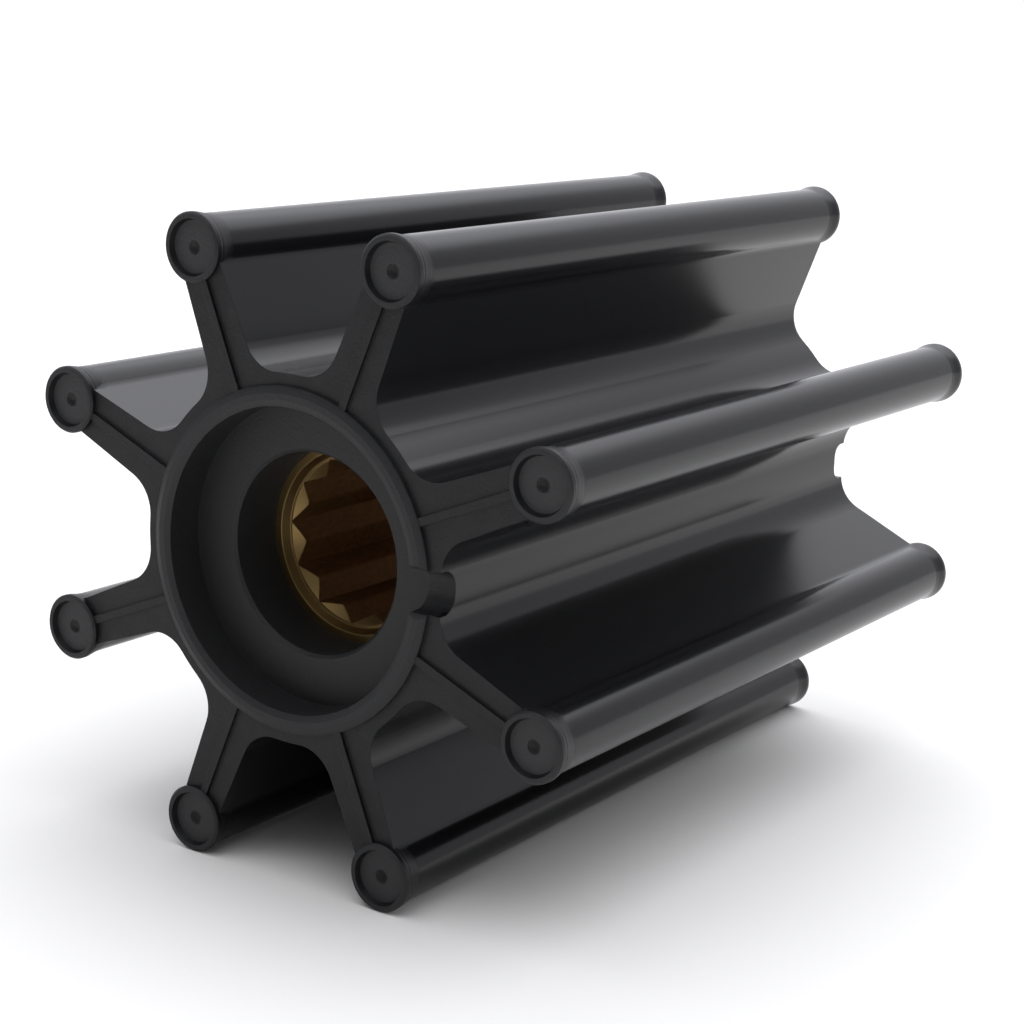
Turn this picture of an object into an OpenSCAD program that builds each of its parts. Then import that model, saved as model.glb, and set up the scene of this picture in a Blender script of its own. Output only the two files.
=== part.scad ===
// Flexible pump impeller: a one-piece moulded rubber body with eight straight
// vanes, bonded round a splined metal bush. Millimetres, +Z up, axis along Y.
// The front end looks towards -Y and the piece lies level on two vane tips.
// Both ends are alike. Inside each module the axis is Z, front end up.

/* [Overall] */
// Diameter across opposite tip pads
outside_diameter = 65; // [40:0.5:130]
// Length over the tip pads at both ends
body_length = 77; // [30:0.5:160]
// Number of vanes
vane_count = 8; // [6:1:12]

/* [Vanes] */
// Radius of the round bulb along each vane tip
bulb_radius = 2.95; // [1.5:0.05:6]
// Step out from the bulb to the end pad, all round
pad_step = 0.25; // [0.1:0.05:0.8]
// Length over which a bulb widens to its end pad
pad_flare = 2; // [0.5:0.1:5]
// Height of the end pads above the web faces
pad_height = 0.6; // [0.3:0.05:2]
// Chamfer on the outer edge of a pad
pad_chamfer = 0.2; // [0.05:0.05:0.4]
// Width of the raised rim on a pad, chamfer included
pad_rim_width = 0.6; // [0.3:0.05:1]
// Depth of the shallow recess inside the rim
pad_recess_depth = 0.55; // [0.05:0.05:0.8]
// Slope of the recess wall, taken off its radius at the bottom
pad_recess_draft = 0.2; // [0.05:0.05:0.4]
// Radius of the small dimple in the middle of a pad
dimple_radius = 0.6; // [0.3:0.05:1]
// Slope of the dimple wall, taken off its radius at the bottom
dimple_draft = 0.2; // [0.05:0.05:0.3]
// Depth of the dimple below the recess
dimple_depth = 0.45; // [0.1:0.05:0.8]
// Web thickness where it leaves the hub
web_root_thickness = 5.4; // [2:0.1:8]
// Web thickness where it meets the bulb
web_tip_thickness = 4.4; // [1.5:0.1:7]
// Fillet between the hub and a web
root_fillet = 3.8; // [0.5:0.1:5]
// Fillet between a web and its bulb
neck_fillet = 1.5; // [0.3:0.1:3]
// Width of the raised rib along each web face
rib_width = 0.75; // [0.4:0.05:2]
// Height of that rib above the web face
rib_height = 0.3; // [0.2:0.05:0.8]

/* [Hub] */
// Radius of the hub wall between the vanes
hub_radius = 17; // [10:0.1:30]
// Outer radius of the raised end ring
ring_radius = 15.9; // [9:0.1:28]
// Width of the flat crest of the ring
ring_crest_width = 0.6; // [0.3:0.05:1.2]
// Width of the slope on each side of that crest
ring_slope_width = 0.65; // [0.2:0.05:1]
// Drop of both slopes from the crest to the edges
ring_drop = 0.25; // [0.1:0.05:0.4]
// Radius of the end recess
recess_radius = 14.05; // [8:0.05:26]
// Depth of the end recess from the ring face
recess_depth = 4; // [1:0.1:10]
// Radius of the rubber bore in front of the bush
bore_radius = 9.4; // [5:0.1:18]
// Small chamfer at the mouth of the rubber bore
bore_chamfer = 0.3; // [0.1:0.05:0.8]
// Width of the drive slot in the end ring
slot_width = 3.9; // [2:0.1:8]
// Depth of the drive slot from the ring face
slot_depth = 2.7; // [1:0.1:6]
// Corner radius at the bottom of the drive slot
slot_corner = 1.5; // [0.3:0.1:3]
// Rounding where the slot opens in the ring face
slot_lead = 0.4; // [0.1:0.05:0.8]

/* [Bush] */
// Depth of the bush face below the ring face
bush_setback = 9.7; // [5:0.1:20]
// Outer radius of the bush, bonded in the rubber
bush_radius = 11.2; // [6:0.1:20]
// Radius of the plain mouth of the bush
mouth_radius = 8.7; // [5:0.05:16]
// Taper of that mouth, taken off its radius at the bottom
mouth_taper = 0.45; // [0.05:0.05:0.6]
// Depth of the plain mouth
mouth_depth = 0.8; // [0.5:0.1:4]
// Radius to the bottom of the spline grooves
groove_radius = 8.1; // [4:0.05:15]
// Height of the spline teeth
tooth_height = 0.95; // [0.4:0.05:2.5]
// Nose radius of each spline tooth
tooth_nose = 0.78; // [0.2:0.02:1.2]
// Number of spline teeth
tooth_count = 12; // [6:1:24]
// How far inside the groove bottoms the lead-in starts
lead_start = 0.1; // [0.05:0.05:0.5]
// Turn of the spline from the slot line, in degrees
spline_turn = -4.5; // [-15:0.5:15]

/* [Hidden] */
// how far the start of a flare sinks into its bulb
flare_sink = 0.05;
// true circles above twelve sides
$fn = 96;
// overrun of every cut past the faces it opens
overrun = 0.5;
rubber_colour = [0.13, 0.13, 0.14];
brass_colour = [0.78, 0.6, 0.3];

// derived places
half_length = body_length / 2;
web_half_length = half_length - pad_height;
pad_radius = bulb_radius + pad_step;
tip_circle = outside_diameter / 2 - pad_radius;
vane_pitch = 360 / vane_count;
first_vane = vane_pitch / 2;
bush_half_length = half_length - bush_setback;
crest_radius = groove_radius - tooth_height;

// web sides: a straight taper from the hub wall to the bulb centre
web_root_half = web_root_thickness / 2;
web_tip_half = web_tip_thickness / 2;
web_slope = (web_root_half - web_tip_half) / (tip_circle - hub_radius);
web_axis_half = web_root_half + web_slope * hub_radius;
slope_long = 1 + web_slope * web_slope;
slope_hyp = sqrt(slope_long);

// largest share of the gap that the two root fillets may take
root_share = 0.9;
root_limit = root_share * (hub_radius * sin(first_vane) - web_root_half) / (1 - sin(first_vane));
root_round = min(root_fillet, root_limit);

// centre of the root fillet circle: off the web side and off the hub wall
root_line = web_axis_half + root_round * slope_hyp;
root_reach = hub_radius + root_round;
root_along = (root_line * web_slope
    + sqrt(pow(root_line * web_slope, 2) - slope_long * (pow(root_line, 2) - pow(root_reach, 2))))
    / slope_long;
root_side = root_line - root_along * web_slope;

// centre of the neck fillet circle: off the web side and off the bulb
neck_line = web_axis_half + neck_fillet * slope_hyp;
neck_reach = bulb_radius + neck_fillet;
neck_half = tip_circle + neck_line * web_slope;
neck_along = (neck_half - sqrt(pow(neck_half, 2)
    - slope_long * (pow(tip_circle, 2) + pow(neck_line, 2) - pow(neck_reach, 2)))) / slope_long;
neck_side = neck_line - neck_along * web_slope;

// half width of the web at a place along the vane
function web_half(along) = web_axis_half - along * web_slope;

// foot of the perpendicular from a fillet centre to the web side
function web_foot(along, side, radius) =
    [along - radius * web_slope / slope_hyp, side - radius / slope_hyp];

// stand a piece built on Z with its front end towards -Y
module lie_down() {
    rotate([90, 0, 0]) children();
}

module at_vanes() {
    for (i = [0 : vane_count - 1]) rotate(first_vane + i * vane_pitch) children();
}

// the same end detail on the front end and, mirrored, on the back end
module both_ends() {
    children();
    mirror([0, 0, 1]) children();
}

// fillet fill on one side of one vane, concave towards the gap
module root_fill() {
    foot = web_foot(root_along, root_side, root_round);
    on_hub = [root_along, root_side] * hub_radius / root_reach;
    difference() {
        polygon([foot, [root_along, root_side], on_hub, [on_hub[0], 0], [foot[0], 0]]);
        translate([root_along, root_side]) circle(r = root_round);
    }
}

module neck_fill() {
    foot = web_foot(neck_along, neck_side, neck_fillet);
    on_bulb = [tip_circle, 0] + ([neck_along, neck_side] - [tip_circle, 0]) * bulb_radius / neck_reach;
    difference() {
        polygon([foot, [foot[0], 0], [tip_circle, 0], on_bulb, [neck_along, neck_side]]);
        translate([neck_along, neck_side]) circle(r = neck_fillet);
    }
}

// one vane in section: tapered web, bulb tip and the four fillets
module vane_section() {
    polygon([
        [0, web_half(0)], [tip_circle, web_half(tip_circle)],
        [tip_circle, -web_half(tip_circle)], [0, -web_half(0)]
    ]);
    translate([tip_circle, 0]) circle(r = bulb_radius);
    root_fill();
    mirror([0, 1]) root_fill();
    neck_fill();
    mirror([0, 1]) neck_fill();
}

module star_section() {
    circle(r = hub_radius);
    at_vanes() vane_section();
}

// flared end of a bulb and its pad: chamfered rim, shallow recess and a dimple
module tip_pad() {
    recess = pad_radius - pad_rim_width;
    recess_floor = recess - pad_recess_draft;
    floor_height = pad_height - pad_recess_depth;
    translate([0, 0, web_half_length]) rotate_extrude() polygon([
        [0, -pad_flare], [bulb_radius - flare_sink, -pad_flare],
        [bulb_radius + pad_step / 4, -pad_flare / 2], [pad_radius, 0],
        [pad_radius, pad_height - pad_chamfer], [pad_radius - pad_chamfer, pad_height],
        [recess, pad_height], [recess_floor, floor_height],
        [dimple_radius, floor_height], [dimple_radius - dimple_draft, floor_height - dimple_depth],
        [0, floor_height - dimple_depth]
    ]);
}

// raised rib on the middle of a web face, from the ring to the tip pad
module face_rib() {
    rib_start = ring_radius - ring_slope_width;
    rib_end = tip_circle - pad_radius + pad_step;
    translate([rib_start, -rib_width / 2, web_half_length - overrun])
        cube([rib_end - rib_start, rib_width, rib_height + overrun]);
}

// raised end ring: a narrow flat crest that slopes down to both edges
module end_ring() {
    crest_end = ring_radius - ring_slope_width;
    crest_start = crest_end - ring_crest_width;
    slope_foot = crest_start - ring_slope_width;
    edge_level = half_length - ring_drop;
    rotate_extrude() polygon([
        [slope_foot - overrun, web_half_length - overrun],
        [ring_radius, web_half_length - overrun],
        [ring_radius, edge_level], [crest_end, half_length],
        [crest_start, half_length], [slope_foot, edge_level],
        [slope_foot - overrun, edge_level]
    ]);
}

// all that is turned out of one end: recess, bore and the bore's chamfer
module end_bore() {
    floor_level = half_length - recess_depth;
    rotate_extrude() polygon([
        [0, bush_half_length - overrun],
        [0, half_length + overrun],
        [recess_radius, half_length + overrun],
        [recess_radius, floor_level],
        [bore_radius + bore_chamfer, floor_level],
        [bore_radius, floor_level - bore_chamfer],
        [bore_radius, bush_half_length],
        [bore_radius, bush_half_length - overrun]
    ]);
}

// round-cornered slot, cut outwards from the recess through the hub wall
module end_slot() {
    slot_floor = half_length - slot_depth;
    flat_half = slot_width / 2 - slot_corner;
    reach = hub_radius + root_round;
    translate([0, 0, slot_floor]) rotate([90, 0, 90]) linear_extrude(height = reach) union() {
        for (side = [-1, 1]) translate([side * flat_half, slot_corner]) circle(r = slot_corner);
        translate([-flat_half, 0]) square([flat_half * 2, slot_corner]);
        translate([-slot_width / 2, slot_corner]) square([slot_width, slot_depth - slot_corner + overrun]);
        translate([0, slot_depth]) polygon([
            [-slot_width / 2 - slot_lead, 0], [-slot_width / 2 - slot_lead, overrun],
            [slot_width / 2 + slot_lead, overrun], [slot_width / 2 + slot_lead, 0],
            [slot_width / 2, -slot_lead], [-slot_width / 2, -slot_lead]
        ]);
    }
}

module rubber_body() {
    color(rubber_colour) lie_down() difference() {
        union() {
            translate([0, 0, -web_half_length])
                linear_extrude(height = web_half_length * 2) star_section();
            both_ends() {
                end_ring();
                at_vanes() {
                    translate([tip_circle, 0, 0]) tip_pad();
                    face_rib();
                }
            }
        }
        cylinder(r = bush_radius, h = bush_half_length * 2, center = true);
        both_ends() {
            end_bore();
            end_slot();
        }
    }
}

// one spline tooth: its valley, and where a flank meets the round nose
half_tooth_pitch = 180 / tooth_count;
nose_place = crest_radius + tooth_nose;
valley = [groove_radius * cos(half_tooth_pitch), -groove_radius * sin(half_tooth_pitch)];
valley_reach = norm([nose_place, 0] - valley);
flank_run = sqrt(pow(valley_reach, 2) - pow(tooth_nose, 2));
flank_heading = atan2(-valley[1], nose_place - valley[0]) + asin(tooth_nose / valley_reach);
nose_touch = valley + flank_run * [cos(flank_heading), sin(flank_heading)];

function turned(point, angle) = [
    point[0] * cos(angle) - point[1] * sin(angle),
    point[0] * sin(angle) + point[1] * cos(angle)
];

// the spline bore in section: grooves with pointed bottoms, teeth with round noses
module spline_bore() {
    pitch = 2 * half_tooth_pitch;
    difference() {
        polygon([for (i = [0 : tooth_count - 1])
            each [turned(valley, i * pitch), turned(nose_touch, i * pitch),
                turned([nose_touch[0], -nose_touch[1]], i * pitch)]]);
        for (i = [0 : tooth_count - 1])
            rotate(i * pitch) translate([nose_place, 0]) circle(r = tooth_nose);
    }
}

// plain tapered mouth of the bush and the lead-in on the tooth ends
module bush_mouth() {
    step_level = bush_half_length - mouth_depth;
    rotate_extrude() polygon([
        [0, bush_half_length + overrun],
        [mouth_radius, bush_half_length + overrun],
        [mouth_radius, bush_half_length],
        [mouth_radius - mouth_taper, step_level],
        [groove_radius - lead_start, step_level],
        [crest_radius - lead_start, step_level - tooth_height],
        [0, step_level - tooth_height]
    ]);
}

module splined_bush() {
    color(brass_colour) lie_down() difference() {
        cylinder(r = bush_radius, h = bush_half_length * 2, center = true);
        translate([0, 0, -bush_half_length])
            linear_extrude(height = bush_half_length * 2)
                rotate(spline_turn + half_tooth_pitch) spline_bore();
        both_ends() bush_mouth();
    }
}

rubber_body();
splined_bush();
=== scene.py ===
# Looks for the rubber pump impeller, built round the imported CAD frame.
import math

import bpy
from mathutils import Matrix, Vector


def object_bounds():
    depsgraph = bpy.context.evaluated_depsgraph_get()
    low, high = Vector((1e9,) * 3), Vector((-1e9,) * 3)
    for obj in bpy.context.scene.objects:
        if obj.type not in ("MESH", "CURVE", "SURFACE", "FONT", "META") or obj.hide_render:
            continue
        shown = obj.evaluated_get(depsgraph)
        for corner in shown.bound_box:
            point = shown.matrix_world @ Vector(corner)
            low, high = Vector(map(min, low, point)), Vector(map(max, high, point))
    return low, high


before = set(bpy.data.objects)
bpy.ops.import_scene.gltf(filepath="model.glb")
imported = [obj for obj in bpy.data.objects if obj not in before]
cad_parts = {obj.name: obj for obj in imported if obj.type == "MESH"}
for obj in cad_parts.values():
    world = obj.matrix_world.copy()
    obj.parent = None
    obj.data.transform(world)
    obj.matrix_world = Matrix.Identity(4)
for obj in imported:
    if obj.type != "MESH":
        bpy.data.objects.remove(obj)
cadBox = [list(corner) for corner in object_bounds()]
mm = 0.001
edgeSamples = 4


# a result is passed on as its node and output socket
def nodeTree(name):
    material = bpy.data.materials.new(name)
    material.use_nodes = True
    tree = material.node_tree
    tree.nodes.clear()
    return material, tree


def addNode(tree, kind, values=None, **settings):
    node = tree.nodes.new(kind)
    for key, value in settings.items():
        setattr(node, key, value)
    for key, value in (values or {}).items():
        node.inputs[key].default_value = value
    return node


def link(tree, start, startSocket, end, endSocket):
    tree.links.new(start.outputs[startSocket], end.inputs[endSocket])


def calc(tree, operation, *values):  # one sum, of numbers and earlier results
    node = addNode(tree, "ShaderNodeMath", operation=operation)
    for index, value in enumerate(values):
        if isinstance(value, (int, float)):
            node.inputs[index].default_value = value
        else:
            link(tree, *value, node, index)
    return node, 0


def ramp(tree, value, span, style="LINEAR"):  # 0 at the span's first number, 1 at its second
    node = addNode(tree, "ShaderNodeMapRange", {"From Min": span[0], "From Max": span[1]},
                   interpolation_type=style)
    link(tree, *value, node, "Value")
    return node, 0


def between(tree, share, low, high):  # low where the share is 0, high where it is 1
    node = addNode(tree, "ShaderNodeMapRange", {"To Min": low, "To Max": high})
    link(tree, *share, node, "Value")
    return node, 0


def blend(tree, before, after, share):  # colours, given or linked
    node = addNode(tree, "ShaderNodeMix", data_type="RGBA")
    link(tree, *share, node, "Factor")
    for socket, value in (("A", before), ("B", after)):
        if hasattr(value, "outputs"):
            link(tree, value, "Result", node, socket)
        else:
            node.inputs[socket].default_value = value
    return node


def places(tree, coords):  # distance from the bore axis, depth along it and the raw parts
    parts = addNode(tree, "ShaderNodeSeparateXYZ")
    link(tree, coords, "Object", parts, 0)
    flat = addNode(tree, "ShaderNodeCombineXYZ")
    link(tree, parts, "X", flat, "X")
    link(tree, parts, "Z", flat, "Y")
    reach = addNode(tree, "ShaderNodeVectorMath", operation="LENGTH")
    link(tree, flat, 0, reach, 0)
    return (reach, "Value"), calc(tree, "ABSOLUTE", (parts, "Y")), parts


def endFacing(tree, coords, span):  # 1 on faces that look along the axis
    parts = addNode(tree, "ShaderNodeSeparateXYZ")
    link(tree, coords, "Normal", parts, 0)
    return ramp(tree, calc(tree, "ABSOLUTE", (parts, "Y")), span)


def stretchedNoise(tree, coords, scale, alongAxis, detail):
    spread = addNode(tree, "ShaderNodeVectorMath", {1: (1, alongAxis, 1)}, operation="MULTIPLY")
    link(tree, coords, "Object", spread, 0)
    noise = addNode(tree, "ShaderNodeTexNoise", {"Scale": scale, "Detail": detail})
    link(tree, spread, 0, noise, "Vector")
    return noise, 0


def softEdges(tree, radius):
    return addNode(tree, "ShaderNodeBevel", {"Radius": radius}, samples=edgeSamples)


def addBump(tree, height, size, before):
    bump = addNode(tree, "ShaderNodeBump", {"Distance": size[0], "Strength": size[1]})
    link(tree, *height, bump, "Height")
    link(tree, before, 0, bump, "Normal")
    return bump


def finishMaterial(tree, settings, colour=None, roughness=None, normal=None):
    shader = addNode(tree, "ShaderNodeBsdfPrincipled", settings)
    if colour:
        link(tree, colour, "Result", shader, "Base Color")
        link(tree, *roughness, shader, "Roughness")
        link(tree, normal, 0, shader, "Normal")
    output = addNode(tree, "ShaderNodeOutputMaterial")
    link(tree, shader, 0, output, "Surface")


# moulded rubber: matt ends with a fine grain, glossy along the vanes
rubber = {
    "faceColour": (0.008, 0.0082, 0.009, 1),
    "paleFaceColour": (0.0112, 0.0115, 0.0122, 1),  # dusty patches in the matt skin
    "raisedPaleColour": (0.0175, 0.0178, 0.0188, 1),  # the raised ring and pad rims are given a paler colour
    "padColour": (0.03, 0.0304, 0.0316, 1),  # the pad floors come out paler than the webs
    # painted fill light: the hub recess and the bore get a paler colour to lift their shade
    "paintedRecessLightColour": (0.02, 0.0202, 0.0208, 1),
    # painted shade: the dimple in the middle of each pad gets a darker colour
    "dimpleColour": (0.005, 0.005, 0.0054, 1),
    "sideColour": (0.0058, 0.006, 0.0068, 1),
    "faceRoughness": 0.55,
    "sideRoughness": 0.21,
    "flareDullness": 0.65,  # the flared front ends shine less than the bulbs
    "refraction": 1.5,
    "specular": 0.3,
    "halfPitch": math.pi / 8,  # half the angle from vane to vane
    "tipCircle": 29.3 * mm,  # from the bore axis to the pad middles
    # spans over which a mask goes from 0 to 1
    "endFaces": (0.35, 0.6),  # share of the normal that lies along the axis
    "hub": (16.6 * mm, 16.4 * mm),  # the ring, the recess and the bore, by distance from the axis
    "recess": (14.3 * mm, 13.9 * mm),
    "raised": (38.2 * mm, 38.4 * mm),  # by depth from the middle of the piece
    "padFloor": (2.7 * mm, 2.5 * mm),  # by distance from the pad middle, as the next ones
    "padSide": (3.23 * mm, 3.19 * mm),
    "bowl": (0, 0.8 * mm),
    # span of the painted shade in each pad's dimple
    "dimple": (0.75 * mm, 0.4 * mm),
    "flare": (35.8 * mm, 36.8 * mm),  # by depth on the front half, as the line's two edges
    "padLineStart": (37.45 * mm, 37.6 * mm),
    "padLineEnd": (37.7 * mm, 37.85 * mm),
    "patches": (0.42, 0.66),
    # scale, stretch along the axis and detail
    "patchNoise": (700, 1, 5),
    "waveNoise": (70, 0.6, 1),
    "streakNoise": (5200, 0.012, 2),
    "grainNoise": (3800, 1, 3),
    # height and strength
    "waveBump": (0.05 * mm, 0.5),
    "streakBump": (0.0008 * mm, 0.6),
    "grainBump": (0.06 * mm, 0.8),
    "bowlBump": (0.4 * mm, 0.8),
    "padLineBump": (0.06 * mm, 1.0),  # fine step between a pad and its bulb
    "edgeRadius": 0.1 * mm,  # soft moulded edges
}


def padReach(tree, reach, parts):  # distance from the middle of the nearest tip pad
    angle = calc(tree, "ARCTAN2", (parts, "Z"), (parts, "X"))
    turn = calc(tree, "SUBTRACT", rubber["halfPitch"], calc(tree, "PINGPONG", angle, rubber["halfPitch"]))
    along = calc(tree, "MULTIPLY", reach, calc(tree, "COSINE", turn))
    outwards = calc(tree, "SUBTRACT", along, rubber["tipCircle"])
    sideways = calc(tree, "MULTIPLY", reach, calc(tree, "SINE", turn))
    return calc(tree, "SQRT", calc(tree, "ADD", calc(tree, "POWER", outwards, 2.0),
                                   calc(tree, "MULTIPLY", sideways, sideways)))


def rubberMaterial():
    material, tree = nodeTree("mouldedRubber")
    coords = addNode(tree, "ShaderNodeTexCoord")
    reach, depth, parts = places(tree, coords)
    fromPad = padReach(tree, reach, parts)
    front = calc(tree, "MULTIPLY", (parts, "Y"), -1.0)
    matt = calc(tree, "MAXIMUM", endFacing(tree, coords, rubber["endFaces"]),
                ramp(tree, reach, rubber["hub"]))
    gloss = calc(tree, "SUBTRACT", 1.0, matt)
    # painted shade mask for the dimple at each pad middle
    dimple = calc(tree, "MULTIPLY", ramp(tree, fromPad, rubber["dimple"]), matt)
    padSide = calc(tree, "MULTIPLY", ramp(tree, fromPad, rubber["padSide"]), gloss)
    padLine = calc(tree, "MULTIPLY", padSide, calc(
        tree, "SUBTRACT", ramp(tree, front, rubber["padLineStart"]), ramp(tree, front, rubber["padLineEnd"])))
    flare = calc(tree, "MULTIPLY", padSide, ramp(tree, front, rubber["flare"]))
    dull = calc(tree, "MAXIMUM", matt, calc(tree, "MULTIPLY", flare, rubber["flareDullness"]))

    patches = stretchedNoise(tree, coords, *rubber["patchNoise"])
    face = blend(tree, rubber["faceColour"], rubber["paleFaceColour"], ramp(tree, patches, rubber["patches"]))
    # painted fill light lifts the shade in the hub recess and the bore
    face = blend(tree, face, rubber["paintedRecessLightColour"], ramp(tree, reach, rubber["recess"]))
    face = blend(tree, face, rubber["padColour"], ramp(tree, fromPad, rubber["padFloor"]))
    face = blend(tree, face, rubber["raisedPaleColour"], ramp(tree, depth, rubber["raised"]))
    face = blend(tree, face, rubber["dimpleColour"], dimple)
    colour = blend(tree, rubber["sideColour"], face, matt)
    roughness = between(tree, dull, rubber["sideRoughness"], rubber["faceRoughness"])

    wave = stretchedNoise(tree, coords, *rubber["waveNoise"])
    streaks = stretchedNoise(tree, coords, *rubber["streakNoise"])
    grain = stretchedNoise(tree, coords, *rubber["grainNoise"])
    bowl = ramp(tree, fromPad, rubber["bowl"], "SMOOTHSTEP")
    normal = softEdges(tree, rubber["edgeRadius"])
    normal = addBump(tree, wave, rubber["waveBump"], normal)
    normal = addBump(tree, calc(tree, "MULTIPLY", streaks, gloss), rubber["streakBump"], normal)
    normal = addBump(tree, calc(tree, "MULTIPLY", grain, matt), rubber["grainBump"], normal)
    normal = addBump(tree, bowl, rubber["bowlBump"], normal)
    normal = addBump(tree, calc(tree, "SUBTRACT", 1.0, padLine), rubber["padLineBump"], normal)
    settings = {"IOR": rubber["refraction"], "Specular IOR Level": rubber["specular"]}
    finishMaterial(tree, settings, colour, roughness, normal)
    return material


# bush: dull brass, browned along the splines
brass = {
    "endColour": (0.25, 0.168, 0.068, 1),
    "toothColour": (0.385, 0.225, 0.092, 1),
    "brownColour": (0.305, 0.172, 0.068, 1),
    "endRoughness": 0.4,
    "toothRoughness": 0.52,
    "endFaces": (0.5, 0.7),
    "mouth": (27.9 * mm, 28.05 * mm),  # the plain mouth, by depth
    "stains": (0.35, 0.65),
    "stainNoise": (2600, 0.55, 4),
    "stainBump": (0.004 * mm, 0.7),
    "ringScale": 6000,  # turned rings on the end faces
    "ringDetail": 2,
    "ringBump": (0.004 * mm, 0.5),
    "edgeRadius": 0.12 * mm,
}


def brassMaterial():
    material, tree = nodeTree("bushBrass")
    coords = addNode(tree, "ShaderNodeTexCoord")
    reach, depth, _ = places(tree, coords)
    ends = calc(tree, "MAXIMUM", endFacing(tree, coords, brass["endFaces"]),
                ramp(tree, depth, brass["mouth"]))
    stains = stretchedNoise(tree, coords, *brass["stainNoise"])
    inside = blend(tree, brass["toothColour"], brass["brownColour"], ramp(tree, stains, brass["stains"]))
    colour = blend(tree, inside, brass["endColour"], ends)
    roughness = between(tree, ends, brass["toothRoughness"], brass["endRoughness"])

    rings = addNode(tree, "ShaderNodeTexNoise", {"Scale": brass["ringScale"], "Detail": brass["ringDetail"]},
                    noise_dimensions="1D")
    link(tree, *reach, rings, "W")
    normal = softEdges(tree, brass["edgeRadius"])
    normal = addBump(tree, (rings, 0), brass["ringBump"], normal)
    normal = addBump(tree, stains, brass["stainBump"], normal)
    finishMaterial(tree, {"Metallic": 1.0}, colour, roughness, normal)
    return material


def dress(node, material):
    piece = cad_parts[node]
    piece.data.materials.clear()
    piece.data.materials.append(material)


dress("rubber_body", rubberMaterial())
dress("splined_bush", brassMaterial())
print("materials done")

# pale floor and soft studio light
studio = {
    "floorColour": (0.94, 0.935, 0.905, 1),
    "floorRoughness": 0.9,
    "floorSpecular": 0.2,
    "floorReach": 60,
    "lampPlace": (-0.35, -0.45, 0.4),
    "lampAim": (0, 0, 0),
    "lampSize": (0.3, 0.3),
    "lampPower": 0.1,
    "skyColour": (0.985, 0.99, 1.04, 1),
    "cameraSkyColour": (1, 1, 1, 1),
    # strengths, and the spans of heading over which one gives way to the next
    "leftStrength": 1.25,
    "rightStrength": 0.66,
    "leftToRight": (-0.3, 0.7),
    "upperStrength": 2.3,
    "lowToUpper": (0.5, 0.64),
    "frontStrength": 0.08,
    "frontUpperStrength": 0.42,
    "frontLowToUpper": (0.25, 0.55),
    "frontToBack": (-0.3, 0.3),
    "overheadStrength": 2.1,
    "upperToOverhead": (0.75, 0.92),
}


def makeFloor():
    half = studio["floorReach"]
    level = cadBox[0][2]
    mesh = bpy.data.meshes.new("floor")
    mesh.from_pydata(
        [(-half, -half, level), (half, -half, level), (half, half, level), (-half, half, level)],
        [], [(0, 1, 2, 3)])
    floor = bpy.data.objects.new("floor", mesh)
    bpy.context.scene.collection.objects.link(floor)
    material, tree = nodeTree("paleFloor")
    finishMaterial(tree, {
        "Base Color": studio["floorColour"], "Roughness": studio["floorRoughness"],
        "Specular IOR Level": studio["floorSpecular"]})
    mesh.materials.append(material)


def makeLamp():
    data = bpy.data.lights.new("leftLight", "AREA")
    data.shape = "RECTANGLE"
    data.size, data.size_y = studio["lampSize"]
    data.energy = studio["lampPower"]
    lamp = bpy.data.objects.new("leftLight", data)
    bpy.context.scene.collection.objects.link(lamp)
    lamp.location = studio["lampPlace"]
    heading = Vector(studio["lampAim"]) - Vector(studio["lampPlace"])
    lamp.rotation_euler = heading.to_track_quat("-Z", "Y").to_euler()


def skyBlend(tree, heading, span, before, after, style="SMOOTHSTEP"):
    mixed = addNode(tree, "ShaderNodeMix")
    link(tree, *ramp(tree, heading, span, style), mixed, "Factor")
    for socket, value in (("A", before), ("B", after)):
        if isinstance(value, float):
            mixed.inputs[socket].default_value = value
        else:
            link(tree, value, 0, mixed, socket)
    return mixed


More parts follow.
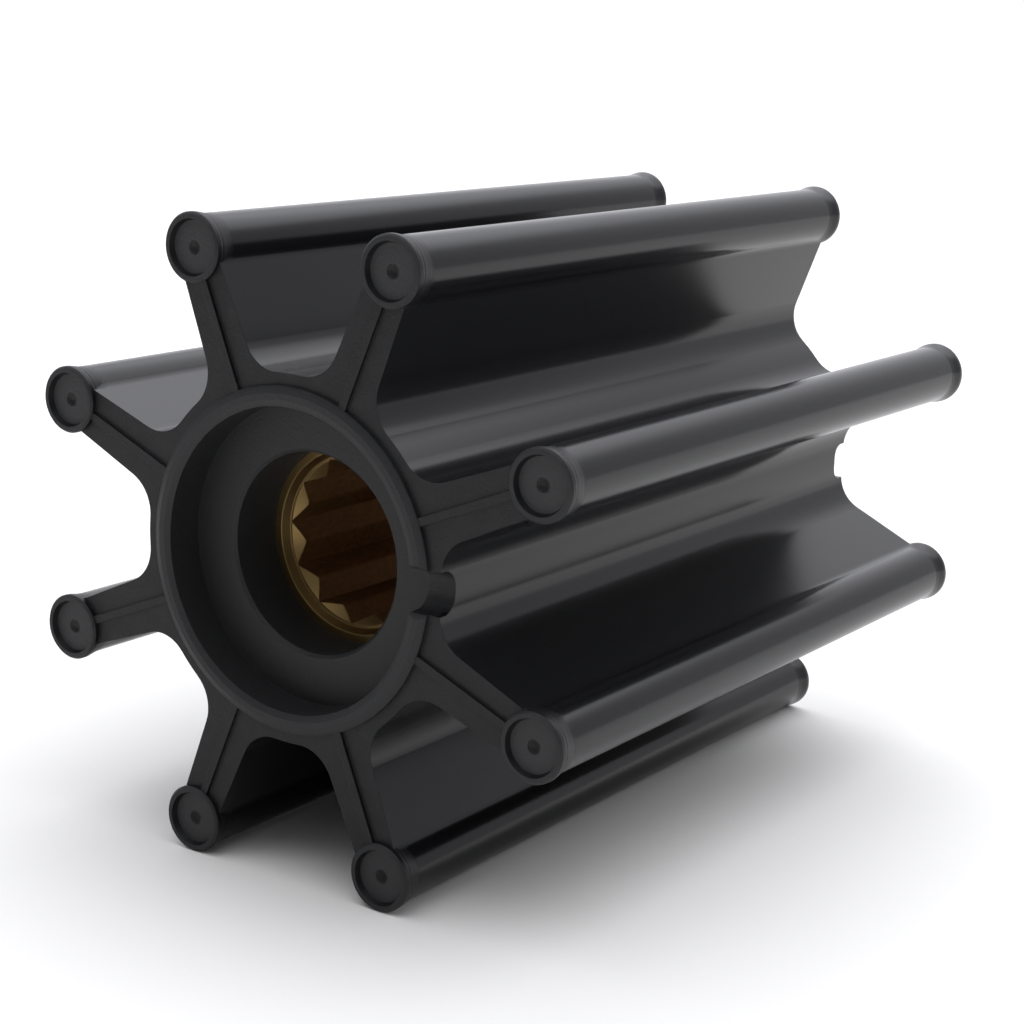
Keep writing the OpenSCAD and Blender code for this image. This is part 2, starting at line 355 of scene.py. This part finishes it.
def makeSky():
    sky = bpy.data.worlds.new("studioSky")
    sky.use_nodes = True
    tree = sky.node_tree
    tree.nodes.clear()
    coords = addNode(tree, "ShaderNodeTexCoord")
    parts = addNode(tree, "ShaderNodeSeparateXYZ")
    link(tree, coords, "Generated", parts, 0)
    right, back, up = ((parts, axis) for axis in "XYZ")
    low = skyBlend(tree, right, studio["leftToRight"], studio["leftStrength"],
                   studio["rightStrength"], "LINEAR")
    behind = skyBlend(tree, up, studio["lowToUpper"], low, studio["upperStrength"])
    front = skyBlend(tree, up, studio["frontLowToUpper"], studio["frontStrength"],
                     studio["frontUpperStrength"])
    around = skyBlend(tree, back, studio["frontToBack"], front, behind)
    amount = skyBlend(tree, up, studio["upperToOverhead"], around, studio["overheadStrength"])
    light = addNode(tree, "ShaderNodeBackground", {"Color": studio["skyColour"]})
    link(tree, amount, 0, light, "Strength")
    plain = addNode(tree, "ShaderNodeBackground", {"Color": studio["cameraSkyColour"]})
    path = addNode(tree, "ShaderNodeLightPath")
    mixed = addNode(tree, "ShaderNodeMixShader")
    link(tree, path, "Is Camera Ray", mixed, 0)
    link(tree, light, 0, mixed, 1)
    link(tree, plain, 0, mixed, 2)
    output = addNode(tree, "ShaderNodeOutputWorld")
    link(tree, mixed, 0, output, "Surface")
    bpy.context.scene.world = sky


makeFloor()
makeLamp()
makeSky()

# camera at the photograph's viewing angle
shot = {
    "place": (122.10 * mm, -180.27 * mm, 49.45 * mm),
    "azimuth": 34.556,
    "elevation": 13.338,
    "roll": 1.865,
    "lens": 75.98,
    "sensor": 36,
    "clip": (0.01, 100),
}


def makeCamera():
    data = bpy.data.cameras.new("camera")
    data.lens = shot["lens"]
    data.sensor_width = shot["sensor"]
    data.clip_start, data.clip_end = shot["clip"]
    camera = bpy.data.objects.new("camera", data)
    bpy.context.scene.collection.objects.link(camera)
    turn, tilt, roll = (math.radians(shot[key]) for key in ("azimuth", "elevation", "roll"))
    back = Vector((math.sin(turn) * math.cos(tilt), -math.cos(turn) * math.cos(tilt), math.sin(tilt)))
    right = (-back).cross(Vector((0, 0, 1))).normalized()
    up = right.cross(-back)
    rolledRight = right * math.cos(roll) + up * math.sin(roll)
    rolledUp = up * math.cos(roll) - right * math.sin(roll)
    camera.matrix_world = Matrix((
        (rolledRight.x, rolledUp.x, back.x, shot["place"][0]),
        (rolledRight.y, rolledUp.y, back.y, shot["place"][1]),
        (rolledRight.z, rolledUp.z, back.z, shot["place"][2]),
        (0, 0, 0, 1)))
    bpy.context.scene.camera = camera


makeCamera()
bpy.context.scene.view_settings.view_transform = "Standard"
print("studio done")
